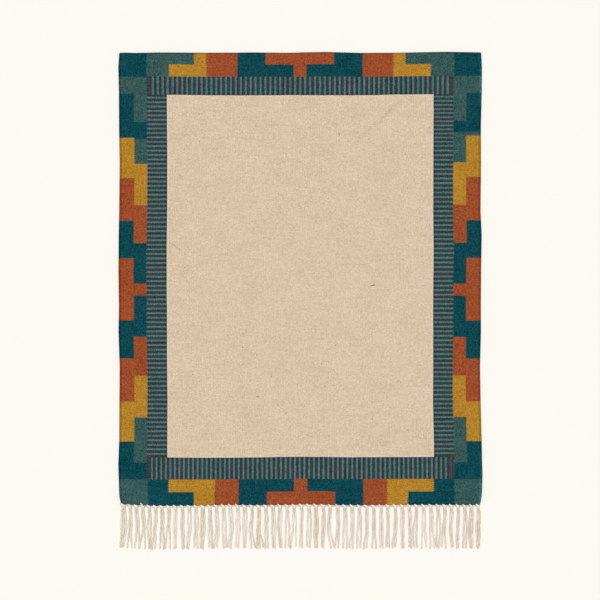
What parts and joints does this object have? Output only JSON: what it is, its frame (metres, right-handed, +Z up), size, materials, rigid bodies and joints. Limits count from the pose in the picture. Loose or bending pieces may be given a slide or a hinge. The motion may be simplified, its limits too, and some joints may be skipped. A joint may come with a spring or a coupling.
{
  "type": "zanafi rug",
  "caption": "Flat-woven rectangular floor rug with a stepped block border, a striped inner band, a plain field, ribbed selvedges and a knotted fringe along one short end.",
  "frame": {"origin": "middle of the woven cloth's underside, fringe not counted", "axes": "+X across the rug to the right with the fringe towards the viewer, +Y along the rug from the fringed end to the plain end, +Z up out of the face"},
  "size_m": [1.2073, 1.6505, 0.0082],
  "materials": {
    "woven_wool": "matt ribbed weft-faced wool weave with a woven block border",
    "fringe_yarn": "matt soft twisted undyed cotton"
  },
  "bodies": {
    "root": {"woven_ground": "woven_wool", "fringe": "fringe_yarn"}
  },
  "joints": []
}
